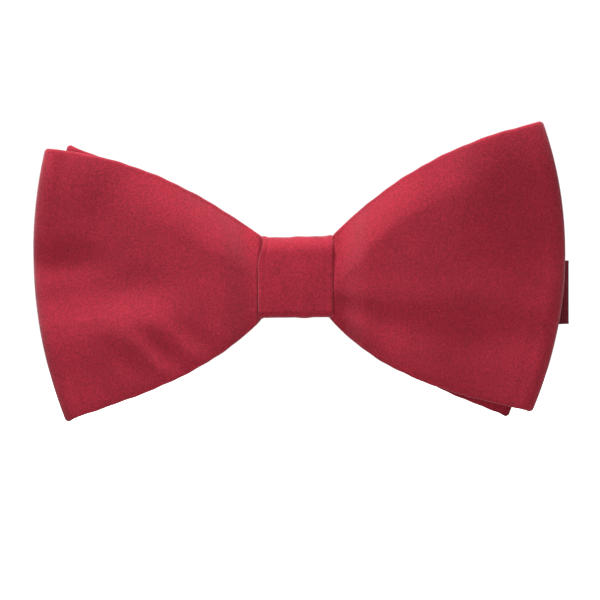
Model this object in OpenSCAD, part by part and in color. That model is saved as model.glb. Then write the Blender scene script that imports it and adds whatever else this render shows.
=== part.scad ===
// Pre-tied bow tie on an adjustable neck strap, in millimetres.
// Worn upright: +Z up, +X to the right seen from the front, and the front faces -Y.
// The origin is the centre of the knot's rear face, which rests on the collar button.
// The neck strap is unfastened and folded flat behind both wings.

/* [Front bow] */
// Reach and height of the top left corner, from the knot's centre
front_top_left = [58.7, 30.6]; // [28:0.1:62]
// Reach and depth of the bottom left corner
front_bottom_left = [53.9, 34.2]; // [28:0.1:62]
// Reach and height of the top right corner
front_top_right = [57.8, 37]; // [28:0.1:62]
// Reach and depth of the bottom right corner
front_bottom_right = [55.6, 32]; // [28:0.1:62]
// How far the left and right folds curve out beyond their corners
front_bulge = [5.1, 6.7]; // [0:0.1:10]
// Half the thickness of the puffed wings
front_puff = 4.2; // [2.6:0.1:4.6]

/* [Back bow] */
// Reach and height of the top left corner, from the knot's centre
back_top_left = [53.7, 31.5]; // [28:0.1:62]
// Reach and depth of the bottom left corner
back_bottom_left = [50, 31]; // [28:0.1:62]
// Reach and height of the top right corner
back_top_right = [51.5, 33]; // [28:0.1:62]
// Reach and depth of the bottom right corner
back_bottom_right = [50.1, 33.1]; // [28:0.1:62]
// How far the left and right folds curve out beyond their corners
back_bulge = [4.5, 5.5]; // [0:0.1:10]

/* [Cloth] */
// Thickness of the face cloth, of the interlining and of the facing
cloth = 0.5; // [0.4:0.05:0.5]

/* [Knot] */
// Width of the knot, across the bow
knot_width = 17.6; // [16:0.1:17.8]
// Height of the knot
knot_height = 19; // [18.9:0.1:21]
// Depth of the knot, front to rear
knot_depth = 12; // [12:0.1:14]
// Thickness of the knot's wrap
wrap = 0.7; // [0.4:0.05:0.7]

/* [Neck strap] */
// Width of the ribbon
strap_width = 15; // [12:0.5:15]
// Thickness of the ribbon
strap = 0.6; // [0.4:0.05:0.6]
// Slope of the ribbon where it passes through the knot, in degrees
strap_slope = 3.1; // [0:0.1:3.2]
// Reach of the first right fold, whose edge shows past the right wing
right_reach = 63.7; // [61:0.1:66]
// Reach of the first left fold
left_reach = 59; // [56:0.1:60]
// Reach of both inner folds
inner_reach = 20; // [19.5:0.1:24]

/* [Hardware] */
// Thickness of the metal
metal = 0.8; // [0.6:0.05:0.8]
// Width of the bars beside each strap slot
rail = 1.4; // [1:0.1:2]
// Width of the hook's tongue
tongue_width = 6; // [4:0.5:7]

/* [Hidden] */

RIGHT = 1;
LEFT = -1;
cloth_red = [0.62, 0.17, 0.22];
back_red = [0.5, 0.13, 0.18];
canvas = [0.93, 0.9, 0.84];
thread_red = [0.42, 0.08, 0.13];
ribbon_red = [0.36, 0.06, 0.14];
nickel = [0.8, 0.8, 0.82];

// Bows: each is a flattened loop of cloth, pinched in the middle
seam_gap = 0.03;        // air between two layers of cloth
wing_steps = 7;         // stations from the knot to the outer fold
fold_steps = 4;         // stations round half of the outer fold
rows = 10;              // rows from the bottom edge to the top edge
fold_start = 0.94;      // share of the wing's length where the outer fold begins
handle = 0.36;          // length of a curve's handles, as a share of its chord
pinch_half = 7.6;       // half the height of a bow inside the knot
pinch_thick = 1.8;      // half the thickness of a bow inside the knot
knot_clear = 0.15;      // gap between the knot's side and a wing
wing_clear = 0.3;       // from the knot's side to where a wing has its own height
edge_puff = 0.65;       // thickness at the top and bottom edges, as a share of the middle
last = 2 + wing_steps + fold_steps;
around = 4 * last;

// Layers of depth, from the knot's rear face towards the front
knot_corner = 2;                            // radius of the knot's corners, seen from the side
inlay = 0.5;                                // thickness of the knot's interlining
thread = 0.4;                               // thickness of the gathering thread
lap = 0.05;                                 // air between two pieces that lie on each other
run_pitch = 1.1;                            // from one folded run to the next
run_1 = -1.9;                               // middle of the run through the knot
back_pinch = -4.6;
front_pinch = -8.3;

// A bow: corners and edge angles (top left, bottom left, top right, bottom right), bulges,
// height beside the knot, half thickness in the wing and at the fold, and the depth of its
// middle in the knot, in the wing and at the fold
front_bow = [
    [front_top_left, front_bottom_left, front_top_right, front_bottom_right],
    [[36.4, 5], [44.5, 19.8], [45.8, 12.5], [47.3, 12.7]],
    front_bulge, 10.3, front_puff, 2.8, front_pinch, -11, -9.8
];
back_bow = [
    [back_top_left, back_bottom_left, back_top_right, back_bottom_right],
    [[36, 20], [40, 17], [41, 16], [43, 20]],
    back_bulge, 9, 1.9, 1.9, back_pinch, -4.75, -4.75
];

// Neck strap: folded runs, numbered outwards from the knot
right_outer = 58.5;     // reach of the third right fold
left_outer = 57;        // reach of the third left fold
run_2 = run_1 + run_pitch;
run_3 = run_2 + run_pitch;
return_y = 1.1;         // middle of the run that comes back from the hook
hook_y = 1.95;          // middle of the hook's bar
run_4 = 2 * hook_y - return_y;
left_run_4 = 1.3;
eye_y = 2.15;           // middle of the eye's bar
eye_tail_y = 2 * eye_y - left_run_4;
drop = tan(strap_slope);
right_z1 = -right_reach * drop;
right_z = right_z1 - (right_reach - inner_reach) * drop;
left_z = left_reach * drop;

// Hardware
bar_r = 0.4;            // radius of the hook's and the eye's bars
slot = strap_width + 0.6;
arm_width = 1.9;        // of the hook's and the eye's arms beside the strap slot
frame_height = slot + 2 * arm_width;
slider_x = 43;
slider_y = 3.65;        // middle of the slider's frame
slider_slot = 3;
centre_bar = 1.6;
slider_half = centre_bar / 2 + slider_slot + rail;
hook_x = 24.5;
eye_x = -24.5;
turn_slot = 2.4;        // from the middle of a bar to the far side of its slot

function mix(a, b, t) = a + (b - a) * t;
function ease(t) = let (c = min(max(t, 0), 1)) c * c * (3 - 2 * c);

// ---- Bows ----

// A point on a bow's top or bottom edge: s is 0 beside the knot and 1 at the corner
function edge_point(corner, angles, start, s) =
    let (
        reach = handle * norm(corner - start),
        leave = start + reach * [cos(angles[0]), sin(angles[0])],
        arrive = corner - reach * [cos(angles[1]), sin(angles[1])]
    )
    pow(1 - s, 3) * start + 3 * pow(1 - s, 2) * s * leave
    + 3 * (1 - s) * s * s * arrive + pow(s, 3) * corner;

// Across and up, at s along a wing and v from its bottom edge to its top edge
function wing_point(bow, side, s, v) =
    let (
        first = side == LEFT ? 0 : 2,
        start = [knot_width / 2 + wing_clear, bow[3]],
        top = edge_point(bow[0][first], bow[1][first], start, s),
        low = edge_point(bow[0][first + 1], bow[1][first + 1], start, s),
        bulge = bow[2][side == LEFT ? 0 : 1] * 4 * v * (1 - v) * s * s
    )
    [side * (mix(low[0], top[0], v) + bulge), mix(-low[1], top[1], v)];

function puffed(v) = mix(edge_puff, 1, sin(180 * v));

// [across, up, half thickness, depth of the middle, turn of the fold] at station j
function station(bow, side, j, v) =
    j < 2 ? [side * j * (knot_width / 2 + knot_clear), (2 * v - 1) * pinch_half,
             pinch_thick, bow[6], 0] :
    let (
        turn = max(0, j - 2 - wing_steps) * 90 / fold_steps,
        s = turn > 0 ? mix(fold_start, 1, sin(turn)) : fold_start * (j - 2) / wing_steps,
        p = wing_point(bow, side, s, v),
        wing = max(pinch_thick, bow[4] * puffed(v)),
        fold = max(pinch_thick, bow[5] * puffed(v)),
        half = mix(mix(pinch_thick, wing, ease(s / 0.35)), fold, ease((s - 0.5) / 0.44)),
        middle = mix(mix(bow[6], bow[7], ease(s / 0.35)), bow[8], ease((s - 0.5) / 0.5))
    )
    [p[0], p[1], half, middle, turn];

// A point of the bow's loop, at a depth of inset under its outer surface
function loop_point(bow, side, j, facing, v, inset) =
    let (t = station(bow, side, j, v))
    [t[0] - side * inset * sin(t[4]),
     t[3] - facing * (t[2] - inset) * cos(t[4]),
     t[1]];

// Once round the loop: the front from left to right, then the back from right to left
loop_route = [
    for (j = [last:-1:1]) [LEFT, j, 1],
    for (j = [0:last]) [RIGHT, j, 1],
    for (j = [last - 1:-1:0]) [RIGHT, j, -1],
    for (j = [1:last - 1]) [LEFT, j, -1]
];

function skin(bow, inset) = [
    for (r = [0:rows]) for (c = loop_route)
        loop_point(bow, c[0], c[1], c[2], r / rows, inset)
];

// Two triangles of a four-sided face
function quad(a, b, c, d) = [[a, b, c], [a, c, d]];

module bow_layer(bow, outside, inside) {
    inner = (rows + 1) * around;
    faces = [
        for (r = [0:rows - 1]) for (k = [0:around - 1])
            let (a = r * around + k, b = r * around + (k + 1) % around)
            each concat(
                quad(a, a + around, b + around, b),
                quad(inner + a, inner + b, inner + b + around, inner + a + around)
            ),
        for (k = [0:around - 1])
            let (n = (k + 1) % around, top = rows * around)
            each concat(
                quad(k, n, inner + n, inner + k),
                quad(top + k, inner + top + k, inner + top + n, top + n)
            )
    ];
    polyhedron(concat(skin(bow, outside), skin(bow, inside)), faces);
}

// One of a bow's three layers of cloth: 0 is the face, 1 the interlining, 2 the facing
module cloth_layer(bow, number) {
    start = number * (cloth + seam_gap);
    bow_layer(bow, start, start + cloth);
}

module front_bow_face() { color(cloth_red) cloth_layer(front_bow, 0); }
module front_bow_interlining() { color(canvas) cloth_layer(front_bow, 1); }
module front_bow_facing() { color(back_red) cloth_layer(front_bow, 2); }
module back_bow_face() { color(cloth_red) cloth_layer(back_bow, 0); }
module back_bow_interlining() { color(canvas) cloth_layer(back_bow, 1); }
module back_bow_facing() { color(back_red) cloth_layer(back_bow, 2); }

// ---- Knot ----

// A rounded rectangle in depth (x) and height (y)
module rounded(y0, y1, half, r) {
    translate([y0 + r, -half]) square([y1 - y0 - 2 * r, 2 * half]);
    translate([y0, -half + r]) square([y1 - y0, 2 * half - 2 * r]);
    for (y = [y0 + r, y1 - r], z = [-half + r, half - r])
        translate([y, z]) circle(r, $fn = 48);
}

// A ring round the bows' middle: rounded outside, with walls of one thickness
module ring(width, y0, y1, half, r, wall) {
    rotate([90, 0, 90])
        linear_extrude(width, center = true)
            difference() {
                rounded(y0, y1, half, r);
                rounded(y0 + wall, y1 - wall, half - wall, r - wall);
            }
}

winding_width = 5;
module gathering_thread() {
    outer = thread + lap;
    color(thread_red)
        ring(winding_width, front_pinch - pinch_thick - outer, back_pinch + pinch_thick + outer,
             pinch_half + 2 * lap + thread, outer, thread);
}

stitch = [2, 0.25, 0.45];       // length, depth and height of one stitch
stitch_hole = [2.1, 0.35, 0.55];
stitch_lean = 65;
stitch_pitch = 2.4;
stitch_count = 6;

// Places of the stitches across the seam that closes the knot's wrap at the rear
module at_knot_stitches() {
    for (i = [0:stitch_count - 1])
        translate([(i - (stitch_count - 1) / 2) * stitch_pitch, -stitch[1] / 2, 0])
            rotate([0, stitch_lean, 0])
                children();
}

module knot_wrap() {
    color(cloth_red)
        difference() {
            ring(knot_width, -knot_depth, 0, knot_height / 2, knot_corner, wrap);
            at_knot_stitches() cube(stitch_hole, center = true);
        }
}

module knot_interlining() {
    inset = wrap + lap;
    color(canvas)
        ring(knot_width - 1, -knot_depth + inset, -inset, knot_height / 2 - inset,
             knot_corner - inset, inlay);
}

module knot_stitches() {
    color(thread_red) at_knot_stitches() cube(stitch, center = true);
}

// ---- Neck strap ----

// The end of a run at p, where its direction is along and the fold's line is at angle line
function run_end(p, along, line) =
    let (half = strap_width / 2 / sin(line - along) * [cos(line), sin(line)])
    [p - half, p + half];

// A flat run of ribbon between two fold lines, each with a point and an angle
module run(p, line_p, q, line_q, y) {
    along = atan2((q - p)[1], (q - p)[0]);
    a = run_end(p, along, line_p);
    b = run_end(q, along, line_q);
    color(ribbon_red)
        translate([0, y + strap / 2, 0])
            rotate([90, 0, 0])
                linear_extrude(strap)
                    polygon([a[0], b[0], b[1], a[1]]);
}

// The bend that joins two runs, round a fold line through p at angle line
module fold(p, line, y0, y1, side) {
    r = (y1 - y0) / 2;
    color(ribbon_red)
        translate([p[0], (y0 + y1) / 2, p[1]])
            rotate([0, 90 - line, 0])
                linear_extrude(strap_width, center = true)
                    intersection() {
                        difference() {
                            circle(r + strap / 2, $fn = 32);
                            circle(r - strap / 2, $fn = 32);
                        }
                        translate([side > 0 ? 0 : -strap_width, -strap_width])
                            square([strap_width, 2 * strap_width]);
                    }
}

// The turn of ribbon round a round bar
module bar_turn(x, y, z, side) {
    fold([x, z], 90, y - (run_4 - hook_y), y + (run_4 - hook_y), side);
}

// A ribbon whose edge follows a path in plan, at height z
function path_normal(path, i) =
    let (
        a = path[max(i - 1, 0)], b = path[i], c = path[min(i + 1, len(path) - 1)],
        u = i == 0 ? c - b : b - a, w = i == len(path) - 1 ? b - a : c - b,
        n = [-u[1], u[0]] / norm(u) + [-w[1], w[0]] / norm(w)
    )
    n * 2 / (n * n);

module ribbon(path, z) {
    half = strap / 2;
    last_point = len(path) - 1;
    color(ribbon_red)
        translate([0, 0, z])
            linear_extrude(strap_width, center = true)
                polygon([
                    for (i = [0:last_point]) path[i] + half * path_normal(path, i),
                    for (i = [last_point:-1:0]) path[i] - half * path_normal(path, i)
                ]);
}

// Fold points, across and up, and the angle of each fold's line
right_fold_1 = [right_reach, right_z1];
right_fold_2 = [inner_reach, right_z];
right_fold_3 = [right_outer, right_z];
left_fold_1 = [-left_reach, left_z];
left_fold_2 = [-inner_reach, left_z];
left_fold_3 = [-left_outer, left_z];
right_line_2 = 90 + strap_slope / 2;
left_line_1 = 90 - strap_slope / 2;

module strap_centre_run() { run(left_fold_1, left_line_1, right_fold_1, 90, run_1); }
module strap_right_fold_1() { fold(right_fold_1, 90, run_1, run_2, RIGHT); }
module strap_right_run_2() { run(right_fold_2, right_line_2, right_fold_1, 90, run_2); }
module strap_right_fold_2() { fold(right_fold_2, right_line_2, run_2, run_3, LEFT); }
module strap_right_run_3() { run(right_fold_2, right_line_2, right_fold_3, 90, run_3); }
module strap_right_fold_3() { fold(right_fold_3, 90, run_3, run_4, RIGHT); }
module strap_right_run_4() {
    run([slider_x + slider_half, right_z], 90, right_fold_3, 90, run_4);
}

weave_top = 1.7;        // half the stretch of ribbon over the slider's centre bar
weave_foot = 3.7;       // from the centre bar to where the ribbon lies flat again

// Over the slider's centre bar and the sewn loop, and under its two outer bars
module strap_slider_weave() {
    over = slider_y + metal / 2 + 2 * lap + 1.5 * strap;
    ribbon([
        for (p = [[-slider_half, run_4], [-weave_foot, run_4], [-weave_top, over],
                  [weave_top, over], [weave_foot, run_4], [slider_half, run_4]])
            p + [slider_x, 0]
    ], right_z);
}

module strap_hook_run() {
    run([hook_x, right_z], 90, [slider_x - slider_half, right_z], 90, run_4);
}
module strap_hook_turn() { bar_turn(hook_x, hook_y, right_z, LEFT); }

sewn_end = slider_x - 10;       // where the sewn loop's tail ends, towards the hook
loop_round = [0.8, 0.5];        // corners of the sewn loop, outside and inside
module strap_return_run() {
    run([hook_x, right_z], 90, [sewn_end, right_z], 90, return_y);
}

// Round the slider's centre bar and back on itself
module strap_sewn_loop() {
    reach = centre_bar / 2 + 2 * lap + strap / 2;
    crest = slider_y + metal / 2 + lap + strap / 2;
    tail_y = return_y + strap + lap;
    far = slider_x + reach;
    near = slider_x - reach;
    ribbon([
        [sewn_end, return_y], [far - loop_round[0], return_y], [far, return_y + loop_round[0]],
        [far, crest], [near, crest], [near, tail_y + loop_round[1]],
        [near - loop_round[1], tail_y], [sewn_end, tail_y]
    ], right_z);
}

module strap_left_fold_1() { fold(left_fold_1, left_line_1, run_1, run_2, LEFT); }
module strap_left_run_2() { run(left_fold_1, left_line_1, left_fold_2, 90, run_2); }
module strap_left_fold_2() { fold(left_fold_2, 90, run_2, run_3, RIGHT); }
module strap_left_run_3() { run(left_fold_3, 90, left_fold_2, 90, run_3); }
module strap_left_fold_3() { fold(left_fold_3, 90, run_3, left_run_4, LEFT); }
module strap_left_run_4() { run(left_fold_3, 90, [eye_x, left_z], 90, left_run_4); }
module strap_eye_turn() { bar_turn(eye_x, eye_y, left_z, RIGHT); }
eye_tail = [0.8, 3.5, 12];      // from the eye's bar to the tail's two bends and its end
module strap_eye_tail() {
    sewn_y = left_run_4 + strap + lap;
    ribbon([
        [eye_x, eye_tail_y], [eye_x - eye_tail[0], eye_tail_y],
        [eye_x - eye_tail[1], sewn_y], [eye_x - eye_tail[2], sewn_y]
    ], left_z);
}

// ---- Stitching and hardware ----

tack_rise = 0.16;       // from the ribbon's surface to the middle of the stitches
sewn_rise = 1.5 * strap + lap + tack_rise;      // from a run to the stitches on its sewn tail
tack_stitch = [2.4, 0.3, 0.7];
tack_count = 11;
tack_margin = 1.5;      // from the ribbon's edge to the first stitch

// A dense row of stitches across the ribbon, lying on its surface
module tack(x, y, z) {
    pitch = (strap_width - 2 * tack_margin) / (tack_count - 1);
    color(thread_red)
        for (i = [0:tack_count - 1])
            translate([x, y, z + (i - (tack_count - 1) / 2) * pitch])
                cube(tack_stitch, center = true);
}

tack_from_end = [2.6, 3];       // from the end of the sewn tail: at the slider, at the eye

module slider_tack() { tack(sewn_end + tack_from_end[0], return_y + sewn_rise, right_z); }
module eye_tack() {
    tack(eye_x - eye_tail[2] + tack_from_end[1], left_run_4 + sewn_rise, left_z);
}

// A flat plate in the XZ plane with its corners rounded
module plate(x0, x1, half, r) {
    translate([x0 + r, -half]) square([x1 - x0 - 2 * r, 2 * half]);
    translate([x0, -half + r]) square([x1 - x0, 2 * half - 2 * r]);
    for (x = [x0 + r, x1 - r], z = [-half + r, half - r])
        translate([x, z]) circle(r, $fn = 48);
}

// Raises a flat outline to a metal plate whose middle is at depth y and height z
module stamped(y, z) {
    translate([0, y + metal / 2, z])
        rotate([90, 0, 0])
            linear_extrude(metal)
                children();
}

slider_corner = 1.5;
module slider() {
    color(nickel)
        stamped(slider_y, right_z)
            translate([slider_x, 0])
                difference() {
                    plate(-slider_half, slider_half, frame_height / 2, slider_corner);
                    for (side = [LEFT, RIGHT])
                        translate([side * (centre_bar + slider_slot) / 2, 0])
                            square([slider_slot, slot], center = true);
                }
}

// The two arms and the round bar that hold the ribbon's turn
module bar_yoke(x, y, z, side) {
    for (end = [-1, 1])
        translate([x, y, z + end * (slot + arm_width) / 2])
            rotate([90, 0, 0])
                linear_extrude(metal, center = true) {
                    circle(arm_width / 2, $fn = 32);
                    translate([side > 0 ? 0 : -turn_slot, -arm_width / 2])
                        square([turn_slot, arm_width]);
                }
    translate([x, y, z]) cylinder(slot + bar_r, bar_r, bar_r, center = true, $fn = 32);
}

head_width = 3;         // width of the plates beyond the strap slots
head_corner = 1.2;
nose_r = 1;             // middle radius of the hook's bend
nose_x = 12.6;          // where that bend is centred
tongue = 5;             // length of the tongue that the eye takes

module hook() {
    back = nose_r * 2 + metal / 2;
    color(nickel) {
        bar_yoke(hook_x, hook_y, right_z, LEFT);
        stamped(hook_y, right_z) {
            plate(hook_x - turn_slot - head_width, hook_x - turn_slot, frame_height / 2, head_corner);
            translate([nose_x, -tongue_width / 2])
                square([hook_x - turn_slot - 1 - nose_x, tongue_width]);
        }
        translate([nose_x, hook_y + nose_r, right_z])
            linear_extrude(tongue_width, center = true) {
                intersection() {
                    difference() {
                        circle(nose_r + metal / 2, $fn = 48);
                        circle(nose_r - metal / 2, $fn = 48);
                    }
                    translate([-2 * back, -back]) square([2 * back, 2 * back]);
                }
                translate([0, nose_r - metal / 2]) square([tongue, metal]);
            }
    }
}

eye_opening = [4.8, 9];
eye_corner = [1, 2];            // corners of the eye's opening and of its frame
module eye() {
    start = eye_x + turn_slot;
    opening = start + head_width;
    end = opening + eye_opening[0];
    color(nickel) {
        bar_yoke(eye_x, eye_y, left_z, RIGHT);
        stamped(eye_y, left_z)
            difference() {
                union() {
                    plate(start, opening, frame_height / 2, head_corner);
                    plate(start + 1, end + rail, eye_opening[1] / 2 + eye_corner[1], eye_corner[1]);
                }
                plate(opening, end, eye_opening[1] / 2, eye_corner[0]);
            }
    }
}

front_bow_face();
front_bow_interlining();
front_bow_facing();
back_bow_face();
back_bow_interlining();
back_bow_facing();
gathering_thread();
knot_wrap();
knot_interlining();
knot_stitches();
strap_centre_run();
strap_right_fold_1();
strap_right_run_2();
strap_right_fold_2();
strap_right_run_3();
strap_right_fold_3();
strap_right_run_4();
strap_slider_weave();
strap_hook_run();
strap_hook_turn();
strap_return_run();
strap_sewn_loop();
strap_left_fold_1();
strap_left_run_2();
strap_left_fold_2();
strap_left_run_3();
strap_left_fold_3();
strap_left_run_4();
strap_eye_turn();
strap_eye_tail();
slider_tack();
eye_tack();
slider();
hook();
eye();
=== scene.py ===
"""Looks of a pre-tied bow tie on a folded neck strap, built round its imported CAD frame.

Shape functions work in millimetres, in the frame's axes: +X right, +Z up, front towards -Y.
Meshes are stored in metres.
"""

import math

import bmesh
import bpy
import numpy as np
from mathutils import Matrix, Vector


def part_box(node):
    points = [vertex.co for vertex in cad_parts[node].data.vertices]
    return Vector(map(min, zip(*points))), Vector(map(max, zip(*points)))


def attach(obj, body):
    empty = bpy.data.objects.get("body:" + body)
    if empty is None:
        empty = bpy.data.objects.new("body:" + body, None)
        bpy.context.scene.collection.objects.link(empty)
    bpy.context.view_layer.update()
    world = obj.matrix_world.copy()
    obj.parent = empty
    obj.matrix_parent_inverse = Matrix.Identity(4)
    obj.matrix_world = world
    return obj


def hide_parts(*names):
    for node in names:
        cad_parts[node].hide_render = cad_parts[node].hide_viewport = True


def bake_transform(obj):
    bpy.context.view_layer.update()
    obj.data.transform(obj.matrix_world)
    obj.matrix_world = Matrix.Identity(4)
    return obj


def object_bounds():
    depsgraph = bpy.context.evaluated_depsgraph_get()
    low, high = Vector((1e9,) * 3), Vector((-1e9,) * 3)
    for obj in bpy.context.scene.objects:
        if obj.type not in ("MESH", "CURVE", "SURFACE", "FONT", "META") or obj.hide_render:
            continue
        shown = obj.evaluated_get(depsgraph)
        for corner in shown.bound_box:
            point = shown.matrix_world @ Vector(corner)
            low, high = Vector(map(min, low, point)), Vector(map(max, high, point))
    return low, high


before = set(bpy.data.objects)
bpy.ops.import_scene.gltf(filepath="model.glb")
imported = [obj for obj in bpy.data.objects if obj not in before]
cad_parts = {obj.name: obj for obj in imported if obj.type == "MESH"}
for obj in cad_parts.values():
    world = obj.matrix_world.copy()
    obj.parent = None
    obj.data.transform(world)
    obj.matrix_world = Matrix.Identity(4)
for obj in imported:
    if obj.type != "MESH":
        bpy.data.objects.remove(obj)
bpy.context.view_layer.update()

MM = 0.001
LEFT, RIGHT = -1, 1
SLOPE = math.radians(3.1)          # of the strap where it passes through the knot


def box_mm(node):
    """A node's lowest and highest corners, in millimetres."""
    low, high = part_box(node)
    return np.array(low) / MM, np.array(high) / MM


# ---------------------------------------------------------------- camera

view_centre = Vector((1.06, -10, -5.3)) * MM
view_width = 141 * MM
view_distance = 1.8

camera = bpy.data.objects.new("camera", bpy.data.cameras.new("camera"))
bpy.context.collection.objects.link(camera)
camera.location = view_centre - Vector((0, view_distance, 0))
camera.rotation_euler = (math.pi / 2, 0, 0)
camera.data.angle = 2 * math.atan(view_width / 2 / view_distance)
camera.data.clip_start = 0.01
bpy.context.scene.camera = camera


# ---------------------------------------------------------------- helpers

def ease(t):
    t = np.clip(t, 0, 1)
    return t * t * (3 - 2 * t)


def mix(a, b, t):
    return a + (b - a) * t


def hump(x, centre, width):
    return np.exp(-(((x - centre) / width) ** 2))


def through(points, x):
    """A smooth curve through (x, y) points."""
    px, py = np.array(points, float).T
    slope = np.gradient(py, px)
    i = np.clip(np.searchsorted(px, x) - 1, 0, len(px) - 2)
    step = px[i + 1] - px[i]
    t = np.clip((x - px[i]) / step, 0, 1)
    return ((2 * t**3 - 3 * t**2 + 1) * py[i] + (t**3 - 2 * t**2 + t) * step * slope[i]
            + (3 * t**2 - 2 * t**3) * py[i + 1] + (t**3 - t**2) * step * slope[i + 1])


def mesh_object(name, points, faces, material):
    """An object from points in millimetres and faces as lists of indices."""
    mesh = bpy.data.meshes.new(name)
    mesh.from_pydata((np.asarray(points, float) * MM).tolist(), [], faces)
    mesh.validate()
    mesh.polygons.foreach_set("use_smooth", [True] * len(mesh.polygons))
    mesh.materials.append(material)
    obj = bpy.data.objects.new(name, mesh)
    bpy.context.collection.objects.link(obj)
    return obj


def ring_faces(rows, columns, flip=False):
    """Four-sided faces of a grid stored row by row, each row closed into a ring."""
    faces = []
    for r in range(rows - 1):
        for c in range(columns):
            low, up, beside = r * columns, (r + 1) * columns, (c + 1) % columns
            face = [low + c, low + beside, up + beside, up + c]
            faces.append(face[::-1] if flip else face)
    return faces


def apply_modifiers(obj):
    bpy.context.view_layer.update()
    evaluated = obj.evaluated_get(bpy.context.evaluated_depsgraph_get())
    mesh = bpy.data.meshes.new_from_object(evaluated)
    obj.modifiers.clear()
    obj.data = mesh


def thicken(obj, thickness):
    """Gives a sheet its thickness, on the side away from its normals."""
    solid = obj.modifiers.new("thickness", "SOLIDIFY")
    solid.thickness = thickness * MM
    solid.offset = -1
    solid.use_even_offset = False
    apply_modifiers(obj)
    obj.data.polygons.foreach_set("use_smooth", [True] * len(obj.data.polygons))


# ---------------------------------------------------------------- materials

class Shader:
    """A small helper that wires a node material."""

    def __init__(self, name):
        self.material = bpy.data.materials.new(name)
        self.material.use_nodes = True
        self.tree = self.material.node_tree
        self.surface = self.tree.nodes["Principled BSDF"]
        self.coords = self.node("ShaderNodeTexCoord").outputs["Object"]

    def node(self, kind, **settings):
        made = self.tree.nodes.new(kind)
        for key, value in settings.items():
            setattr(made, key, value)
        return made

    def link(self, out, into):
        self.tree.links.new(out, into)

    def set(self, **values):
        for key, value in values.items():
            self.surface.inputs[key.replace("_", " ")].default_value = value

    def scaled(self, scale):
        mapping = self.node("ShaderNodeMapping")
        mapping.inputs["Scale"].default_value = scale
        self.link(self.coords, mapping.inputs["Vector"])
        return mapping.outputs["Vector"]

    def noise(self, size_mm, detail=2, rough=0.5, stretch=(1, 1, 1)):
        """Noise whose features are about size_mm across; stretch lengthens them along an axis."""
        made = self.node("ShaderNodeTexNoise")
        made.inputs["Scale"].default_value = 1
        made.inputs["Detail"].default_value = detail
        made.inputs["Roughness"].default_value = rough
        self.link(self.scaled([1 / (size_mm * MM * s) for s in stretch]), made.inputs["Vector"])
        return made.outputs["Fac"]

    def wave(self, pitch_mm, direction):
        """Bands pitch_mm apart along one axis."""
        made = self.node("ShaderNodeTexWave", wave_type="BANDS", bands_direction=direction)
        made.inputs["Scale"].default_value = math.pi / 10  # one band for each unit of length
        self.link(self.scaled([1 / (pitch_mm * MM)] * 3), made.inputs["Vector"])
        return made.outputs["Fac"]

    def ramp(self, fac, stops):
        made = self.node("ShaderNodeValToRGB")
        elements = made.color_ramp.elements
        while len(elements) < len(stops):
            elements.new(0.5)
        for element, (position, colour) in zip(elements, stops):
            element.position = position
            element.color = (*colour, 1)
        self.link(fac, made.inputs["Fac"])
        return made.outputs["Color"]

    def tinted(self, colour, tint, share):
        """A colour multiplied by that share of a tint."""
        made = self.node("ShaderNodeMix", data_type="RGBA", blend_type="MULTIPLY")
        made.inputs[0].default_value = share
        self.link(colour, made.inputs[6])
        self.link(tint, made.inputs[7])
        return made.outputs[2]

    def product(self, a, b):
        made = self.node("ShaderNodeMath", operation="MULTIPLY")
        self.link(a, made.inputs[0])
        self.link(b, made.inputs[1])
        return made.outputs[0]

    def bump(self, height, distance_mm, strength=1.0, normal=None):
        made = self.node("ShaderNodeBump")
        made.inputs["Distance"].default_value = distance_mm * MM
        made.inputs["Strength"].default_value = strength
        self.link(height, made.inputs["Height"])
        if normal is not None:
            self.link(normal, made.inputs["Normal"])
        return made.outputs["Normal"]


def rgb(r, g, b):
    """A linear colour from display values of 0 to 255."""
    def linear(c):
        c /= 255
        return c / 12.92 if c <= 0.04045 else ((c + 0.055) / 1.055) ** 2.4
    return linear(r), linear(g), linear(b)


def napped_cloth(name, dark, light, sheen):
    """Brushed, finely napped cloth: a mottled nap with fine fibres, uneven dye and a soft sheen."""
    shader = Shader(name)
    mottle = shader.noise(0.6, detail=4, rough=0.7)
    drift = shader.noise(7, detail=2)
    nap = shader.noise(0.42, detail=2, rough=0.7)
    base = shader.ramp(mottle, [(0.25, dark), (0.75, light)])
    shade = shader.ramp(drift, [(0.3, (0.92,) * 3), (0.7, (1.04,) * 3)])
    base = shader.tinted(base, shade, 0.9)
    fibre = shader.ramp(nap, [(0.36, (0.7,) * 3), (0.64, (1.21,) * 3)])
    base = shader.tinted(base, fibre, 0.85)
    shader.link(base, shader.surface.inputs["Base Color"])
    rough = shader.ramp(nap, [(0, (0.82,) * 3), (1, (0.98,) * 3)])
    shader.link(rough, shader.surface.inputs["Roughness"])
    coarse = shader.bump(mottle, 0.10, 0.8)
    fine = shader.bump(nap, 0.07, 0.9, coarse)
    shader.link(fine, shader.surface.inputs["Normal"])
    shader.set(Specular_IOR_Level=0.28, Sheen_Weight=sheen, Sheen_Roughness=0.45)
    shader.surface.inputs["Sheen Tint"].default_value = (1, 0.72, 0.76, 1)
    return shader.material


def canvas_cloth(name):
    """Undyed woven interlining."""
    shader = Shader(name)
    weave = shader.product(shader.wave(0.6, "X"), shader.wave(0.6, "Z"))
    base = shader.ramp(weave, [(0, rgb(196, 184, 160)), (0.6, rgb(236, 228, 210))])
    shader.link(base, shader.surface.inputs["Base Color"])
    shader.link(shader.bump(weave, 0.08), shader.surface.inputs["Normal"])
    shader.set(Roughness=0.95, Specular_IOR_Level=0.15)
    return shader.material


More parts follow.
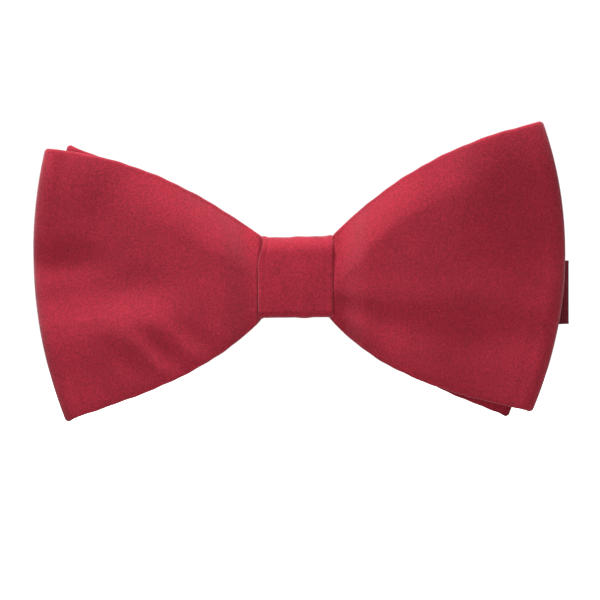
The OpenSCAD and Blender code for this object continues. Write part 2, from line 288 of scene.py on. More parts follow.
def ribbon_cloth(name):
    """Fine ribbed ribbon: ribs across its width, a slight satin gleam and uneven dye."""
    shader = Shader(name)
    ribs = shader.wave(0.55, "X")
    yarn = shader.noise(0.16, detail=2, stretch=(1, 1, 0.35))
    drift = shader.noise(6, detail=2)
    base = shader.ramp(ribs, [(0.1, rgb(84, 8, 26)), (0.75, rgb(136, 20, 46))])
    shade = shader.ramp(drift, [(0.3, (0.85,) * 3), (0.7, (1.08,) * 3)])
    base = shader.tinted(base, shade, 1)
    shader.link(base, shader.surface.inputs["Base Color"])
    ribbed = shader.bump(ribs, 0.09, 0.9)
    shader.link(shader.bump(yarn, 0.03, 0.7, ribbed), shader.surface.inputs["Normal"])
    shader.set(Roughness=0.62, Specular_IOR_Level=0.22, Sheen_Weight=0.06)
    return shader.material


def twisted_thread(name):
    """Sewing thread, lighter and darker along its twist."""
    shader = Shader(name)
    twist = shader.noise(0.12, detail=2, stretch=(1, 1, 2.5))
    base = shader.ramp(twist, [(0.3, rgb(96, 18, 34)), (0.7, rgb(158, 44, 62))])
    shader.link(base, shader.surface.inputs["Base Color"])
    shader.link(shader.bump(twist, 0.04), shader.surface.inputs["Normal"])
    shader.set(Roughness=0.6, Specular_IOR_Level=0.4, Sheen_Weight=0.2)
    return shader.material


def nickel_plate(name):
    """Bright plate with fine scuffs and a little dulling in patches."""
    shader = Shader(name)
    scuffs = shader.noise(0.25, detail=3, stretch=(5, 1, 1))
    patches = shader.noise(2.5, detail=3)
    base = shader.ramp(patches, [(0.3, rgb(212, 210, 205)), (0.7, rgb(226, 224, 220))])
    shader.link(base, shader.surface.inputs["Base Color"])
    rough = shader.ramp(scuffs, [(0.35, (0.12,) * 3), (0.75, (0.27,) * 3)])
    shader.link(rough, shader.surface.inputs["Roughness"])
    shader.link(shader.bump(scuffs, 0.008, 0.5), shader.surface.inputs["Normal"])
    shader.set(Metallic=1.0)
    return shader.material


face_red = rgb(155, 27, 47), rgb(178, 38, 59)
face_cloth = napped_cloth("face_cloth", *face_red, 0.45)
knot_cloth = napped_cloth("knot_cloth", *face_red, 0.3)     # drawn tight, so its nap lies flatter
# The facing is the face's red cloth in darker colours with less sheen: painted shade for the inside
# of the loop.
facing_cloth = napped_cloth("facing_cloth", rgb(118, 24, 42), rgb(150, 40, 58), 0.15)
canvas = canvas_cloth("interlining")
ribbon = ribbon_cloth("ribbon")
thread = twisted_thread("thread")
nickel = nickel_plate("nickel")


# ---------------------------------------------------------------- bows

knot_low, knot_high = box_mm("knot_wrap")
knot_half = knot_high[0]            # half the knot's width
knot_front = -knot_low[1]           # depth of its front
knot_top = knot_high[2]

PANEL = 1.5                         # from a bow's outer surface to the inside of its lining
FOLD_START = 0.94                   # share of a wing's length where its outer fold begins
HANDLE = 0.36                       # length of a curve's handles, as a share of its chord
UNEVEN = 0.05                       # how far a wing's edges waver
HEM = 1.6                           # face cloth turned in along the top and bottom edges


class Bow:
    """One bow: a flattened loop whose wings fan out from under the knot."""

    def __init__(self, name, corners, angles, bulge, start, pinch, fold_depth, fold_half):
        self.name = name
        self.corners = corners      # top left, bottom left, top right, bottom right
        self.angles = angles        # of each edge, leaving the knot and reaching the corner
        self.bulge = bulge          # of the left and right folds
        self.start = start          # reach beside the knot, and each corner's height there
        self.pinch = pinch          # depths of the back and front of the cloth in the knot
        self.fold_depth = fold_depth    # of the middle of its outer folds
        self.fold_half = fold_half      # half their thickness

    def edge(self, which, s):
        """Reach and height, s along one edge of a wing."""
        start = np.array([self.start[0], self.start[1][which]])
        corner = np.array(self.corners[which], float)
        reach = HANDLE * np.linalg.norm(corner - start)
        leave, arrive = (math.radians(a) for a in self.angles[which])
        a = start + reach * np.array([math.cos(leave), math.sin(leave)])
        b = corner - reach * np.array([math.cos(arrive), math.sin(arrive)])
        s = np.asarray(s)[..., None]
        uneven = UNEVEN * (np.sin(29 * s + 2 * which) + np.sin(67 * s + which))
        uneven = uneven * ease(s / 0.2) * ease((1 - s) / 0.1) * np.array([0, 1])
        return ((1 - s) ** 3 * start + 3 * (1 - s) ** 2 * s * a
                + 3 * (1 - s) * s**2 * b + s**3 * corner + uneven)

    def plan(self, side, s, v):
        """Across and up at s along a wing and v from its bottom edge to its top edge."""
        first = 0 if side == LEFT else 2
        top, low = self.edge(first, s), self.edge(first + 1, s)
        bulge = self.bulge[first // 2] * 4 * v * (1 - v) * s**2
        return side * (mix(low[..., 0], top[..., 0], v) + bulge), mix(-low[..., 1], top[..., 1], v)


def front_stand(s):
    """How far the front panel's crown stands out in front of the knot's pinch."""
    return 3.2 * ease(s / 0.2) + 1.2 * ease((s - 0.1) / 0.35)


def front_relief(side, s, v, x, z, height):
    """The front panel's own hollows and folds, below its crown."""
    spread = height / 55            # the same slopes on a wing's narrow end as on its wide end
    top, low = (1 - v) * height, v * height
    if side == RIGHT:
        profile = through([(0, -4.2), (0.12, -3.8), (0.25, -3.65), (0.36, -2.0), (0.5, -1.3),
                           (0.65, -0.6), (0.8, 0), (1, 0.1)], v)
        drop = through([(0, 3.2), (0.12, 5.0), (0.22, 4.4), (0.47, 2.5), (0.66, 0.9), (1, 0.2)], s)
        roll = through([(0, 12), (0.12, 12.5), (0.22, 11), (0.47, 10), (0.7, 11), (1, 12)], s)
        turned_down = 1.5
        flare = 10.0 * ease((v - 0.5) / 0.5) * ease((s - 0.5) / 0.44)
    else:
        wide = through([(0, -1.8), (0.15, -1.1), (0.29, 0), (0.46, -1.9),
                        (0.6, -0.9), (0.8, 0), (1, -0.1)], v)
        narrow = through([(0, -1.6), (0.3, -0.5), (0.6, -0.2), (1, 0)], v)
        profile = mix(narrow, wide, ease((s - 0.25) / 0.4))
        drop = through([(0, 2.6), (0.15, 4.8), (0.47, 2.6), (0.65, 0.9), (1, 0.3)], s)
        roll, turned_down = 12.0, 2
        flare = 3.5 * ease((v - 0.55) / 0.45) * ease((s - 0.6) / 0.34)
    leaving = ease(s / 0.07)
    relief = (profile * spread + flare) * (0.25 + 0.75 * leaving)
    relief = relief - drop * np.clip(1 - top / roll, 0, 1) ** turned_down * (0.7 + 0.3 * leaving)
    relief = relief - 0.35 * np.clip(1 - low / 4, 0, 1) ** 2
    if side == RIGHT:
        return relief - 1.5 * hump(s, 0.1, 0.15) * np.clip(1 - low / 9, 0, 1) ** 2
    # Diagonal folds low on the wing, then the dent beside its outer fold, a shallow hollow, the
    # swell at its top corner and a faint crease
    across_folds = (x + z) / math.sqrt(2) + 0.5 * np.sin(x / 5)
    folds = 0.56 * np.cos(2 * math.pi * (across_folds + 29.8) / 8.7)
    relief = relief + folds * hump(z, -17.5, 5.8) * hump(x, -33, 13)
    relief = relief - 2.8 * hump(x, -59.5, 3.8) * hump(z, 3.4, 4.0)
    relief = relief - 0.8 * hump(x, -49, 5) * hump(z, 15, 8)
    relief = relief + 0.9 * hump(x, -51, 7) * hump(z, 26, 7)
    return relief + 0.15 * hump(z + 11.2 - 0.127 * (x + 55), 0, 0.7) * ease((-x - 37) / 8)


def front_rear_stand(s):
    """How far the front bow's rear panel stands out behind its pinch."""
    return 0.9 * ease(s / 0.3)


def gathers(s, v, count, depth):
    """Soft pleats that fan out from the pinch and die away along the wing."""
    fade = ease(s / 0.06) * (1 - ease(s / 0.5))
    return -depth * fade * (0.5 + 0.5 * np.cos(2 * math.pi * (count * (v - 0.5) + 0.12)))


def front_rear_relief(side, s, v, x, z, height):
    """One low crown with pleats from the pinch."""
    shape = through([(0, -2), (0.2, -0.8), (0.5, 0), (0.8, -0.8), (1, -2)], v)
    return ease(s / 0.5) * shape + gathers(s, v, 3, 0.5)


def back_stand(s):
    """How far the back bow's panels stand out from its pinch."""
    return 0.3 * ease(s / 0.3)


def back_relief(side, s, v, x, z, height):
    """A calm panel with one low crown, and pleats from the pinch."""
    crown = through([(0, -0.9), (0.2, -0.2), (0.5, 0), (0.8, -0.2), (1, -0.9)], v)
    return 0.5 * ease(s / 0.3) * crown + gathers(s, v, 3 + 0.5 * side, 0.55)


front_bow = Bow(
    "front_bow",
    [(58.7, 30.6), (53.9, 34.2), (57.8, 37.0), (55.6, 32.0)],
    [(36.4, 5), (44.5, 19.8), (45.8, 12.5), (47.3, 12.7)],
    (5.1, 6.7), (9.1, (10.1, 10.7, 9.9, 10.4)), pinch=(6.7, 10.3), fold_depth=9.8, fold_half=2.8,
)
back_bow = Bow(
    "back_bow",
    [(53.7, 31.5), (50.0, 31.0), (51.5, 33.0), (50.1, 33.1)],
    [(36, 20), (40, 17), (41, 16), (43, 20)],
    (4.5, 5.5), (9.0, (9.0,) * 4), pinch=(2.9, 6.3), fold_depth=4.75, fold_half=1.8,
)

# Inside the knot: across, half the height, and how far in front of the pinch
HIDDEN = [(0, 7.5, 0), (4, 7.5, 0), (6.8, 7.6, 0), (7.7, 8.2, 0.2), (8.3, 8.65, 0.5),
          (8.75, 9.4, 0.85)]
LAP_SLOPE = 0.75                    # of the left wing's top edge over the knot's corner
LOW_SLOPE = 1.2                     # of the wings' lower edges as they leave the knot
EMERGE = 1.5                        # how far a wing stands out as soon as it leaves the knot
FOLLOW = 0.6                        # share of the front panel's relief that reaches its fold
PRESSED = 0.3                       # depth of the line pressed beside the outer fold
WING_STEPS = 64
FOLD_STEPS = 8
ROWS = 72


def panel_line(bow, side, facing, column, v, shapes):
    """One line of the bow's outer surface from bottom to top: across, depth, up, and its turn
    into the fold. The fold follows part of the front panel's relief."""
    kind, value = column
    if kind == "hidden":
        across, half, rise = HIDDEN[value]
        if facing > 0:
            depth = bow.pinch[1] + rise - 0.6 * abs(2 * v - 1) ** 4
        else:
            depth = bow.pinch[0] + 0 * v
        reach, heights = bow.start
        top_line = heights[0] - LAP_SLOPE * (reach - across)
        low_line = heights[1 if side == LEFT else 3] - LOW_SLOPE * (reach - across)
        lift = max(top_line - half, 0) * ease((v - 0.6) / 0.4) * (side == LEFT)
        drop = max(low_line - half, 0) * ease((0.4 - v) / 0.4)
        return side * across + 0 * v, depth, (2 * v - 1) * half + (lift - drop), 0.0
    turn = value if kind == "fold" else 0.0
    s = mix(FOLD_START, 1, math.sin(turn)) if kind == "fold" else value
    x, z = bow.plan(side, np.float64(s), v)

    def relief_at(at, shape):
        ax, az = bow.plan(side, np.float64(at), v)
        low, high = bow.plan(side, np.float64(at), np.array([0.0, 1.0]))[1]
        return shape[1](side, at, v, ax, az, high - low)

    half = bow.fold_half * (0.85 + 0.15 * np.sin(math.pi * np.clip(v, 0, 1)))
    carried = FOLLOW * relief_at(FOLD_START, shapes[0])
    if kind == "fold":
        return x, bow.fold_depth + carried + facing * half * math.cos(turn), z, turn
    shape = shapes[0] if facing > 0 else shapes[1]
    reach = shape[0](s)
    free = bow.pinch[1] + EMERGE + reach if facing > 0 else bow.pinch[0] - reach
    to_fold = ease((s - 0.45) / (FOLD_START - 0.45))
    fade = ease((s - 0.6) / (FOLD_START - 0.6))
    own = facing * relief_at(s, shape) * (1 - fade) + carried * fade
    depth = mix(free, bow.fold_depth + facing * half, to_fold) + own
    if facing > 0:
        depth = depth - PRESSED * hump(s, FOLD_START - 0.012, 0.012)
    return x, depth, z, turn


def loop_columns():
    """Once round the loop: the front from left to right, then the back from right to left."""
    wing = [("hidden", i) for i in range(1, len(HIDDEN))]
    wing += [("wing", FOLD_START * (i / WING_STEPS) ** 1.3) for i in range(WING_STEPS)]
    wing += [("fold", math.pi / 2 * i / FOLD_STEPS) for i in range(FOLD_STEPS + 1)]
    centre = ("hidden", 0)
    columns = [(LEFT, 1, c) for c in reversed(wing)] + [(LEFT, 1, centre)]
    columns += [(RIGHT, 1, c) for c in wing]
    columns += [(RIGHT, -1, c) for c in reversed(wing[:-1])] + [(RIGHT, -1, centre)]
    columns += [(LEFT, -1, c) for c in wing[:-1]]
    return columns


def loop_sheet(bow, rows, shapes, name, material, flip=False):
    """A sheet round the bow's loop. Each row is (v, out, inset): out is past the end of v, inset is
    under the outer surface, both in millimetres."""
    columns = loop_columns()
    v, out, inset = np.array(rows, float).T
    grid = np.zeros((len(rows), len(columns), 3))
    for i, (side, facing, column) in enumerate(columns):
        x, depth, z, turn = panel_line(bow, side, facing, column, v, shapes)
        x0, _, z0, _ = panel_line(bow, side, facing, column, 0.5 + (v - 0.5) * 0.9, shapes)
        length = np.maximum(np.hypot(x - x0, z - z0), 1e-6)
        x, z = x + out * (x - x0) / length, z + out * (z - z0) / length
        grid[:, i, 0] = x - side * inset * math.sin(turn)
        grid[:, i, 1] = -(depth - facing * inset * math.cos(turn))
        grid[:, i, 2] = z
    faces = ring_faces(len(rows), len(columns), flip)
    return mesh_object(name, grid.reshape(-1, 3), faces, material)


def bow_rows(layer):
    """Rows from the bottom edge to the top edge of one layer of a bow's cloth."""
    half_height = 22.5              # a wing's, where v is measured off in millimetres
    r = PANEL / 2
    low = r / half_height / 2
    tail = (r + HEM) / half_height / 2
    if layer == "face":
        turns = [math.pi * i / 8 for i in range(1, 9)]
        rows = [(tail, 0, PANEL)]
        rows += [(low, r * math.sin(a), r * (1 - math.cos(a))) for a in reversed(turns)]
        rows += [(mix(low, 1 - low, i / ROWS), 0, 0) for i in range(ROWS + 1)]
        rows += [(1 - low, r * math.sin(a), r * (1 - math.cos(a))) for a in turns]
        return rows + [(1 - tail, 0, PANEL)]
    inset, edge = (0.5, low) if layer == "interlining" else (PANEL - 0.2, tail + 0.002)
    return [(mix(edge, 1 - edge, i / ROWS), 0, inset) for i in range(ROWS + 1)]


def make_bow(bow, shapes):
    """A bow's three layers. Shapes are the stand and relief of its front and rear panels."""
    looks = {"face": (face_cloth, "face_cloth", 0.45), "interlining": (canvas, "interlining", 0.35),
             "facing": (facing_cloth, "facing_cloth", 0.4)}
    for layer, (material, slot, thickness) in looks.items():
        piece = loop_sheet(bow, bow_rows(layer), shapes, f"{bow.name}_{layer}_cloth",
                           material, flip=layer == "facing")
        thicken(piece, thickness)
        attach(piece, "bow")
        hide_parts(f"{bow.name}_{layer}")


make_bow(front_bow, ((front_stand, front_relief), (front_rear_stand, front_rear_relief)))
make_bow(back_bow, ((back_stand, back_relief), (back_stand, back_relief)))


# ---------------------------------------------------------------- knot

KNOT_TILT = 0.022                   # its right side sits this much higher for each millimetre


def knot_profile(count, inset):
    """Points round the knot seen from the side, as (depth, up): soft in front, flat at the rear."""
    top_r, bottom_r, rear_r = 3.8 - inset, 1.6 - inset, 2 - inset
    top = knot_top - inset
    front = knot_front - inset
    corners = [
        (front - bottom_r, -top + bottom_r, bottom_r, -math.pi / 2, 0),
        (front - top_r, top - top_r, top_r, 0, math.pi / 2),
        (inset + rear_r, top - rear_r, rear_r, math.pi / 2, math.pi),
        (inset + rear_r, -top + rear_r, rear_r, math.pi, 1.5 * math.pi),
    ]
    outline = []
    for y, z, r, a0, a1 in corners:
        for i in range(17):
            a = mix(a0, a1, i / 16)
            outline.append((y + r * math.cos(a), z + r * math.sin(a)))
    outline.append(outline[0])
    outline = np.array(outline)
    lengths = np.concatenate([[0], np.cumsum(np.linalg.norm(np.diff(outline, axis=0), axis=1))])
    at = np.linspace(0, lengths[-1], count, endpoint=False)
    return np.stack([np.interp(at, lengths, outline[:, k]) for k in (0, 1)], axis=1)


def knot_columns(half_width, hem):
    """Lines round the knot from left to right: across, and inset under the outer surface. A hem
    rolls each edge under."""
    steps = 48
    if not hem:
        return [(mix(-half_width, half_width, i / steps), 0) for i in range(steps + 1)]
    r, turned = 0.42, 1.8
    flat = half_width - r
    roll = [(flat + r * math.sin(a), r * (1 - math.cos(a))) for a in np.linspace(0, math.pi, 10)]
    edge = roll[1:] + [(flat - turned, 2 * r)]
    left = [(-x, inset) for x, inset in edge[::-1]]
    return left + [(mix(-flat, flat, i / steps), 0) for i in range(steps + 1)] + edge


def knot_sheet(name, material, inset, half_width, thickness, hem):
    """A layer of the knot's wrap, crowned in front and tucked in at its top left corner."""
    around = 160
    columns = knot_columns(half_width, hem)
    profile = knot_profile(around, inset)
    tangent = np.roll(profile, -1, axis=0) - np.roll(profile, 1, axis=0)
    tangent /= np.linalg.norm(tangent, axis=1)[:, None]
    normal = np.stack([tangent[:, 1], -tangent[:, 0]], axis=1)
    depth, up = profile.T
    frontness = ease((depth - 3) / 6)
    grid = np.zeros((len(columns), around, 3))
    for i, (x, under) in enumerate(columns):
        u = x / half_width
        swell = 0.55 * (1 - abs(u) ** 3) * frontness * (1 - (up / knot_top) ** 2)
        top_raised = 0.2 + 0.2 * ease((abs(u) - 0.7) / 0.3) - 0.15 * (1 - u * u)
        raised = np.where(up > 0, top_raised, 0.1 * u - 0.05)
        out = swell + raised * abs(normal[:, 1]) - under
        if hem:
            # The lap at the rear, slow ripples across the front, and the hems' pressed lines
            lap = (up > 0) * (1 - ease(up / 5)) * (1 - ease(depth / 1.5))
            ripples = 0.10 * math.sin(5.2 * u + 0.6) + 0.07 * np.sin(11 * u + 0.14 * up)
            out = out + 0.35 * lap
            out = out + frontness * ripples
            out = out - 0.14 * frontness * hump(abs(u), 0.82, 0.04)
        tuck = 0.13 * ease((up - 2.5) / 6) ** 1.5 * frontness if x < 0 else 0
        grid[i, :, 0] = x * (1 - tuck)
        grid[i, :, 1] = -(depth + out * normal[:, 0])
        grid[i, :, 2] = up + out * normal[:, 1] + KNOT_TILT * x
    faces = ring_faces(len(columns), around, flip=True)
    piece = mesh_object(name, grid.reshape(-1, 3), faces, material)
    thicken(piece, thickness)
    return piece


knot = knot_sheet("knot_wrap_cloth", knot_cloth, 0, knot_half, 0.4, True)
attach(knot, "bow")
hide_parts("knot_wrap")

knot_lining = knot_sheet("knot_interlining_cloth", canvas, 0.9, knot_half - 1.0, 0.4, False)
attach(knot_lining, "bow")
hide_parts("knot_interlining")


# ---------------------------------------------------------------- thread

TUBE_SIDES = 8


def tube(points, radius):
    """Points and faces of a round tube along a route, closed at its ends."""
    route = np.array(points, float)
    tangents = np.gradient(route, axis=0)
    tangents /= np.linalg.norm(tangents, axis=1)[:, None]
    reference = np.array([0.0, 0.0, 1.0])
    if abs(tangents[0] @ reference) > 0.9:
        reference = np.array([1.0, 0.0, 0.0])
    made = []
    side = np.cross(tangents[0], reference)
    for point, tangent in zip(route, tangents):
        side = side - tangent * (side @ tangent)
        side /= np.linalg.norm(side)
        other = np.cross(tangent, side)
        for k in range(TUBE_SIDES):
            a = 2 * math.pi * k / TUBE_SIDES
            made.append(point + radius * (math.cos(a) * side + math.sin(a) * other))
    faces = ring_faces(len(route), TUBE_SIDES)
    faces.append(list(range(TUBE_SIDES))[::-1])
    faces.append([(len(route) - 1) * TUBE_SIDES + k for k in range(TUBE_SIDES)])
    return made, faces


def joined(name, parts, material):
    """One object from several (points, faces) parts."""
    points, faces = [], []
    for part_points, part_faces in parts:
        start = len(points)
        points += [tuple(p) for p in part_points]
        faces += [[start + i for i in face] for face in part_faces]
    return mesh_object(name, points, faces, material)


def stitch(a, b, rise, radius):
    """A short arched stitch from a to b that stands up by rise, a vector."""
    a, b, rise = (np.array(p, float) for p in (a, b, rise))
    steps = 8
    route = [mix(a, b, i / steps) + rise * math.sin(math.pi * i / steps) for i in range(steps + 1)]
    return tube(route, radius)


def thread_piece(piece, body, node):
    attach(piece, body)
    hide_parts(node)


# Whip stitches across the seam at the rear of the knot
seam_pitch, seam_count = 2.4, 6
slant, seam_half = 0.5, 0.9          # half of a stitch's width and height
whip = []
for i in range(seam_count):
    x = (i - (seam_count - 1) / 2) * seam_pitch
    start, end = (x - slant, -0.05, -seam_half), (x + slant, 0.3, seam_half)
    whip.append(stitch(start, end, (0, 0.22, 0), 0.15))
thread_piece(joined("knot_seam_stitches", whip, thread), "bow", "knot_stitches")

# Thread wound round the bows' pinch, under the knot
low, high = box_mm("gathering_thread")
turns, per_turn, wind_r = 9, 40, 0.2
wound_half = 2                       # half the width of the winding
squareness = 5                       # of a turn: 2 would be an ellipse
middle = (low + high) / 2
half = (high - low) / 2 - wind_r
winding = []
for i in range(turns * per_turn + 1):
    a = 2 * math.pi * i / per_turn
    c, s = math.cos(a), math.sin(a)
    out = 1 / (abs(c) ** squareness + abs(s) ** squareness) ** (1 / squareness)
    x = mix(-wound_half, wound_half, i / (turns * per_turn))
    winding.append((x + middle[0], middle[1] + half[1] * c * out, middle[2] + half[2] * s * out))
thread_piece(joined("gathering_thread_winding", [tube(winding, wind_r)], thread), "bow",
             "gathering_thread")


# ---------------------------------------------------------------- neck strap

STRAP = 0.6                          # thickness of the ribbon
WIDTH = 15.0
STEP = 1.2                           # between points along its straight runs
BEND_STEPS = 12


def node_middle(node):
    low, high = box_mm(node)
    return (low + high) / 2


run_1 = node_middle("strap_centre_run")[1]
run_2 = node_middle("strap_right_run_2")[1]
run_3 = node_middle("strap_right_run_3")[1]
run_4 = node_middle("strap_right_run_4")[1]
left_run_4 = node_middle("strap_left_run_4")[1]
return_run = node_middle("strap_return_run")[1]
right_level = node_middle("strap_right_run_3")[2]
left_level = node_middle("strap_left_run_3")[2]
right_1 = box_mm("strap_right_fold_1")[0][0]        # reach of each fold
right_2 = box_mm("strap_right_fold_2")[1][0]
right_3 = box_mm("strap_right_fold_3")[0][0]
left_1 = box_mm("strap_left_fold_1")[1][0]
left_2 = box_mm("strap_left_fold_2")[0][0]
left_3 = box_mm("strap_left_fold_3")[1][0]


def level_line(x):
    """Height of the ribbon's middle along the run through the knot."""
    return -x * math.tan(SLOPE)


def straight(a, b):
    """Points from a towards b, without b."""
    a, b = np.array(a, float), np.array(b, float)
    count = max(1, round(float(np.linalg.norm(b - a)) / STEP))
    return [mix(a, b, i / count) for i in range(count)]


def bend(x, y0, y1, side):
    """Points of a half turn from depth y0 to y1 at x, bulging towards side, without its end."""
    middle, r = (y0 + y1) / 2, (y1 - y0) / 2
    angles = [math.pi * i / BEND_STEPS for i in range(BEND_STEPS)]
    return [np.array([x + side * abs(r) * math.sin(a), middle - r * math.cos(a)]) for a in angles]


def run(x0, x1, y):
    """Points of a straight run from x0 to x1 at depth y."""
    return straight((x0, y), (x1, y)) + [(x1, y)]


def fold_path(end, x, y0, y1, side):
    """Points from end to a fold at x, round it and back to end; it bulges towards side."""
    return straight((end, y0), (x, y0)) + bend(x, y0, y1, side) + run(x, end, y1)


def ribbon_strip(name, path, level):
    """A ribbon whose edge follows a path of (across, depth) points; level gives its height at each
    point. It has a woven edge slightly thicker than its middle."""
    path = np.array(path, float)
    tangent = np.gradient(path, axis=0)
    tangent /= np.linalg.norm(tangent, axis=1)[:, None]
    normal = np.stack([-tangent[:, 1], tangent[:, 0]], axis=1)
    half = STRAP / 2
    across = [(-1, 0.55), (-0.985, 0.9), (-0.955, 1), (-0.925, 0.86)]
    across += [(mix(-0.9, 0.9, i / 10), 0.84) for i in range(11)]
    across += [(-w, t) for w, t in across[3::-1]]
    ring = across + [(w, -t) for w, t in across[::-1]]
    points = []
    for p, n in zip(path, normal):
        height = level(p)
        for w, t in ring:
            points.append((p[0] + n[0] * half * t, p[1] + n[1] * half * t, height + w * WIDTH / 2))
    count = len(ring)
    faces = ring_faces(len(path), count, flip=True)
    faces.append(list(range(count)))
    faces.append([(len(path) - 1) * count + k for k in range(count)][::-1])
    piece = mesh_object(name, points, faces, ribbon)
    ends = {edge for face in piece.data.polygons[-2:] for edge in face.edge_keys}
    for edge in piece.data.edges:
        edge.use_edge_sharp = edge.key in ends
    length = float(np.linalg.norm(np.diff(path, axis=0), axis=1).sum())
    return piece, length


def mid_strip(name, body, path, level, *nodes):
    """A ribbon that rides on one body."""
    piece, length = ribbon_strip(name, path, level)
    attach(piece, body)
    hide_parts(*nodes)


def fold_strip(name, path, level, node):
    """A ribbon round a fold, with its placing baked into its mesh."""
    piece, length = ribbon_strip(name, path, level)
    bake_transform(piece)
    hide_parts(node)


def lean(x0, z0, x1, z1):
    """Height along a run, level outside it."""
    return lambda p: mix(z0, z1, min(max((p[0] - x0) / (x1 - x0), 0), 1))


SHARE = 12                           # how far each fold's piece reaches along its runs
SHORT_SHARE = 10                     # and where the runs are shorter


def through_knot(p):
    return level_line(p[0])


mid_strip("strap_centre_ribbon", "strap_centre", run(left_1 + SHARE, right_1 - SHARE, run_1),
          through_knot, "strap_centre_run")

# Right arm
slope_right_2 = lean(right_1, level_line(right_1), right_2, right_level)


def right_fold_1_level(p):
    before = p[1] < (run_1 + run_2) / 2 and p[0] < right_1
    return level_line(p[0]) if before else slope_right_2(p)


def right_fold_2_level(p):
    return slope_right_2(p) if p[1] < (run_2 + run_3) / 2 else right_level


def flat_right(p):
    return right_level


fold_strip("strap_right_fold_1_ribbon",
           fold_path(right_1 - SHARE, right_1, run_1, run_2, 1),
           right_fold_1_level, "strap_right_fold_1")
mid_strip("strap_right_2_ribbon", "strap_right_2", run(right_1 - SHARE, right_2 + SHARE, run_2),
          slope_right_2, "strap_right_run_2")
fold_strip("strap_right_fold_2_ribbon",
           fold_path(right_2 + SHARE, right_2, run_2, run_3, -1),
           right_fold_2_level, "strap_right_fold_2")
mid_strip("strap_right_3_ribbon", "strap_right_3",
          run(right_2 + SHARE, right_3 - SHORT_SHARE, run_3), flat_right, "strap_right_run_3")

slider_low, slider_high = box_mm("slider")
slider_x = (slider_low[0] + slider_high[0]) / 2
slider_half = (slider_high[0] - slider_low[0]) / 2
fold_strip("strap_right_fold_3_ribbon",
           straight((right_3 - SHORT_SHARE, run_3), (right_3, run_3))
           + bend(right_3, run_3, run_4, 1) + [(right_3, run_4)],
           flat_right, "strap_right_fold_3")
feed, length = ribbon_strip("strap_right_4_ribbon",
                            run(right_3, slider_x + slider_half, run_4), flat_right)
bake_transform(feed)
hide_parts("strap_right_run_4")


def smoothed(points, step=0.5, passes=6):
    """A polyline resampled evenly, with its corners rounded and its ends kept."""
    points = np.array(points, float)
    lengths = np.concatenate([[0], np.cumsum(np.linalg.norm(np.diff(points, axis=0), axis=1))])
    at = np.linspace(0, lengths[-1], max(3, round(lengths[-1] / step)))
    made = np.stack([np.interp(at, lengths, points[:, k]) for k in range(points.shape[1])], axis=1)
    for _ in range(passes):
        made[1:-1] = (made[:-2] + 2 * made[1:-1] + made[2:]) / 4
    return made


# Under the slider's bars and over its middle, round the hook's bar, and back to the sewn loop
metal = slider_high[1] - slider_low[1]
slider_y = (slider_low[1] + slider_high[1]) / 2
hook_bar_x = box_mm("strap_hook_turn")[1][0]
sewn_end = box_mm("strap_sewn_loop")[0][0]
over = slider_y + metal / 2 + 0.1 + 1.5 * STRAP     # depth of the ribbon over the sewn loop
weave_foot, weave_top = 3.7, 1.9     # where it starts to rise beside the slider's middle and ends
bar_half = 0.8                       # of the slider's centre bar
loop_reach = bar_half + 0.1 + STRAP / 2
crest = slider_y + metal / 2 + 0.05 + STRAP / 2     # depth of the sewn loop over the bar
tail_y = return_run + STRAP + 0.05
wide, tight = 0.8, 0.3               # corners of the sewn loop
weave = [(slider_x + dx, y) for dx, y in (
    (slider_half, run_4), (weave_foot, run_4), (weave_top, over), (-weave_top, over),
    (-weave_foot, run_4), (-slider_half - 2, run_4))] + [(hook_bar_x, run_4)]
back_loop = [(hook_bar_x, return_run), (slider_x + loop_reach - wide, return_run),
             (slider_x + loop_reach, return_run + wide), (slider_x + loop_reach, crest - 0.2),
             (slider_x + loop_reach - tight, crest), (slider_x - loop_reach + tight, crest),
             (slider_x - loop_reach, crest - tight), (slider_x - loop_reach, tail_y + 0.6),
             (slider_x - loop_reach - wide, tail_y), (sewn_end, tail_y)]
hook_turn = [tuple(p) for p in bend(hook_bar_x, run_4, return_run, -1)][1:]
adjuster_path = np.concatenate([smoothed(weave, passes=3), hook_turn,
                                smoothed(back_loop, step=0.35, passes=2)])
adjuster, length = ribbon_strip("strap_adjuster_ribbon", adjuster_path, flat_right)
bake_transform(adjuster)
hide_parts("strap_slider_weave", "strap_hook_run", "strap_hook_turn",
            "strap_return_run", "strap_sewn_loop")

# Left arm
slope_left_2 = lean(left_1, level_line(left_1), left_2, left_level)


def left_fold_1_level(p):
    before = p[1] < (run_1 + run_2) / 2 and p[0] > left_1
    return level_line(p[0]) if before else slope_left_2(p)


def flat_left(p):
    return left_level


fold_strip("strap_left_fold_1_ribbon",
           fold_path(left_1 + SHARE, left_1, run_1, run_2, -1),
           left_fold_1_level, "strap_left_fold_1")
mid_strip("strap_left_2_ribbon", "strap_left_2",
          run(left_1 + SHARE, left_2 - SHORT_SHARE, run_2), slope_left_2, "strap_left_run_2")
fold_strip("strap_left_fold_2_ribbon",
           fold_path(left_2 - SHORT_SHARE, left_2, run_2, run_3, 1),
           flat_left, "strap_left_fold_2")
mid_strip("strap_left_3_ribbon", "strap_left_3",
          run(left_2 - SHORT_SHARE, left_3 + SHORT_SHARE, run_3), flat_left, "strap_left_run_3")
fold_strip("strap_left_fold_3_ribbon",
           fold_path(left_3 + SHORT_SHARE, left_3, run_3, left_run_4, -1),
           flat_left, "strap_left_fold_3")
eye_bar_x = box_mm("strap_eye_turn")[0][0]
eye_bar_y = node_middle("strap_eye_turn")[1]
eye_tail_y = 2 * eye_bar_y - left_run_4
sewn_y = left_run_4 + STRAP + 0.05
eye_tail = [(eye_bar_x, eye_tail_y), (eye_bar_x - 0.8, eye_tail_y), (eye_bar_x - 3.5, sewn_y),
            (eye_bar_x - 12, sewn_y)]
